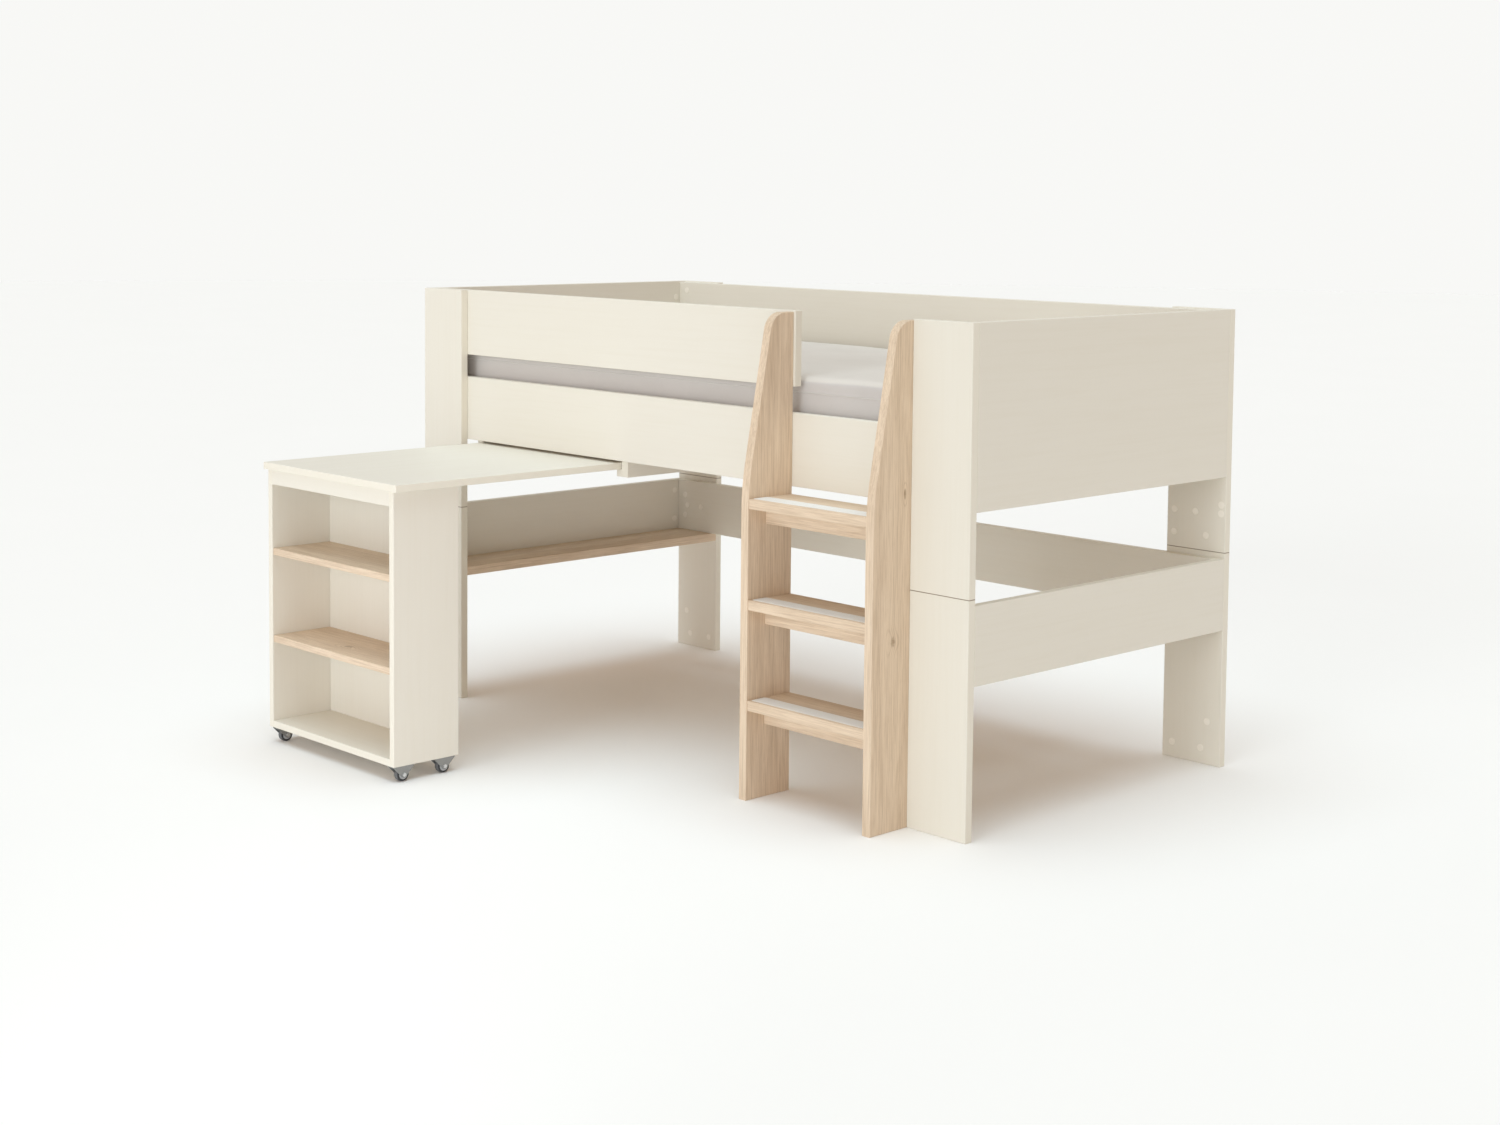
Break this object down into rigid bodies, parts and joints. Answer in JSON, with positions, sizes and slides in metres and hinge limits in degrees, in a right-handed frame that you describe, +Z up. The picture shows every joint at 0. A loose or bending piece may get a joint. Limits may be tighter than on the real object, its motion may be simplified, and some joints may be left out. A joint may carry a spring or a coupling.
{
  "type": "loft bed with desk",
  "caption": "Low loft bed of cream boards with an oak ladder, a slatted base with a mattress, and a desk with an open bookcase on castors that pulls out from under it.",
  "frame": {"origin": "on the floor under the middle of the whole part, with the desk pulled out", "axes": "+X along the bed towards the ladder end, +Y from the ladder side to the rear, +Z up"},
  "size_m": [2.06, 1.67, 1.163],
  "materials": {
    "cream_board": "matt foil",
    "oak_board": "matt oak grain",
    "pine_wood": "sanded",
    "beech_dowel": "raw",
    "zinc_steel": "zinc plated",
    "castor_steel": "satin grey",
    "anti_slip_film": "fine grit",
    "cap_plastic": "satin",
    "mattress_fabric": "woven",
    "tyre_rubber": "matt",
    "hub_plastic": "satin"
  },
  "bodies": {
    "bed_frame": {"post_front_left_lower": "cream_board", "post_front_left_upper": "cream_board", "post_front_right_lower": "cream_board", "post_front_right_upper": "cream_board", "post_rear_left_lower": "cream_board", "post_rear_left_upper": "cream_board", "post_rear_right_lower": "cream_board", "post_rear_right_upper": "cream_board", "end_panel_left": "cream_board", "end_panel_right": "cream_board", "end_rail_left": "cream_board", "end_rail_right": "cream_board", "rear_panel": "cream_board", "rear_stretcher": "cream_board", "side_rail": "cream_board", "guard_board": "cream_board", "runner_left": "cream_board", "runner_right": "cream_board", "end_shelf": "oak_board", "ladder_stile_left": "oak_board", "ladder_stile_right": "oak_board", "tread_1": "oak_board", "tread_2": "oak_board", "tread_3": "oak_board", "tread_apron_1": "oak_board", "tread_apron_2": "oak_board", "tread_apron_3": "oak_board", "anti_slip_strips": "anti_slip_film", "bearer_front": "pine_wood", "bearer_rear": "pine_wood", "slats": "pine_wood", "seam_dowels": "beech_dowel", "panel_dowels": "beech_dowel", "runner_dowels": "beech_dowel", "tread_dowels": "beech_dowel", "board_bolts": "zinc_steel", "ladder_bolts": "zinc_steel", "bearer_screws": "zinc_steel", "cover_caps": "cap_plastic"},
    "desk": {"desk_top": "cream_board", "case_side_left": "cream_board", "case_side_right": "cream_board", "case_back": "cream_board", "case_bottom": "cream_board", "case_apron": "cream_board", "case_shelf_lower": "oak_board", "case_shelf_upper": "oak_board", "case_dowels": "beech_dowel", "castor_brackets": "castor_steel", "castor_axles": "zinc_steel", "castor_screws": "zinc_steel"},
    "mattress": {"mattress": "mattress_fabric"},
    "castor_front_left": {"castor_tyre_front_left": "tyre_rubber", "castor_hub_front_left": "hub_plastic"},
    "castor_front_right": {"castor_tyre_front_right": "tyre_rubber", "castor_hub_front_right": "hub_plastic"},
    "castor_rear_left": {"castor_tyre_rear_left": "tyre_rubber", "castor_hub_rear_left": "hub_plastic"},
    "castor_rear_right": {"castor_tyre_rear_right": "tyre_rubber", "castor_hub_rear_right": "hub_plastic"}
  },
  "joints": [
    {"name": "desk_slide", "type": "slide", "parent": "bed_frame", "child": "desk", "axis": [0, 1, 0], "range_m": [0, 0.66]},
    {"name": "mattress_lift", "type": "slide", "parent": "bed_frame", "child": "mattress", "axis": [0, 0, 1], "range_m": [0, 0.3]},
    {"name": "castor_spin_front_left", "type": "hinge", "parent": "desk", "child": "castor_front_left", "pos_m": [-0.769, -0.798, 0.0175], "axis": [1, 0, 0], "continuous": true},
    {"name": "castor_spin_front_right", "type": "hinge", "parent": "desk", "child": "castor_front_right", "pos_m": [-0.241, -0.798, 0.0175], "axis": [1, 0, 0], "continuous": true},
    {"name": "castor_spin_rear_left", "type": "hinge", "parent": "desk", "child": "castor_rear_left", "pos_m": [-0.769, -0.677, 0.0175], "axis": [1, 0, 0], "continuous": true},
    {"name": "castor_spin_rear_right", "type": "hinge", "parent": "desk", "child": "castor_rear_right", "pos_m": [-0.241, -0.677, 0.0175], "axis": [1, 0, 0], "continuous": true}
  ]
}
